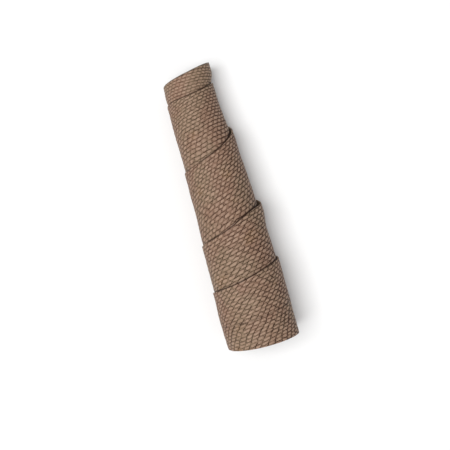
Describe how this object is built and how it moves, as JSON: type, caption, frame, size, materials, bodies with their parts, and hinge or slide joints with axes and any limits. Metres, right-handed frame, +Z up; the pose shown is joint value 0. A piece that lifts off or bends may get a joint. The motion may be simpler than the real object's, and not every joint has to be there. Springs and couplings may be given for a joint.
{
  "type": "tanned salmon skin",
  "caption": "Tanned salmon skin: a thin sheet of fish leather with a fine scale pattern, rolled into a slightly conical open tube that lies on its side.",
  "frame": {"origin": "centre of the roll's footprint, on the surface that it lies on", "axes": "+Y along the roll towards its narrow end, +X to the right as seen from above with the narrow end up, +Z up"},
  "size_m": [0.0408, 0.1572, 0.0413],
  "materials": {
    "leather": "matt to satin grey brown fish leather, with small diamond scale pockets outside and a plain flesh side inside"
  },
  "bodies": {
    "root": {"salmon_skin": "leather"}
  },
  "joints": []
}
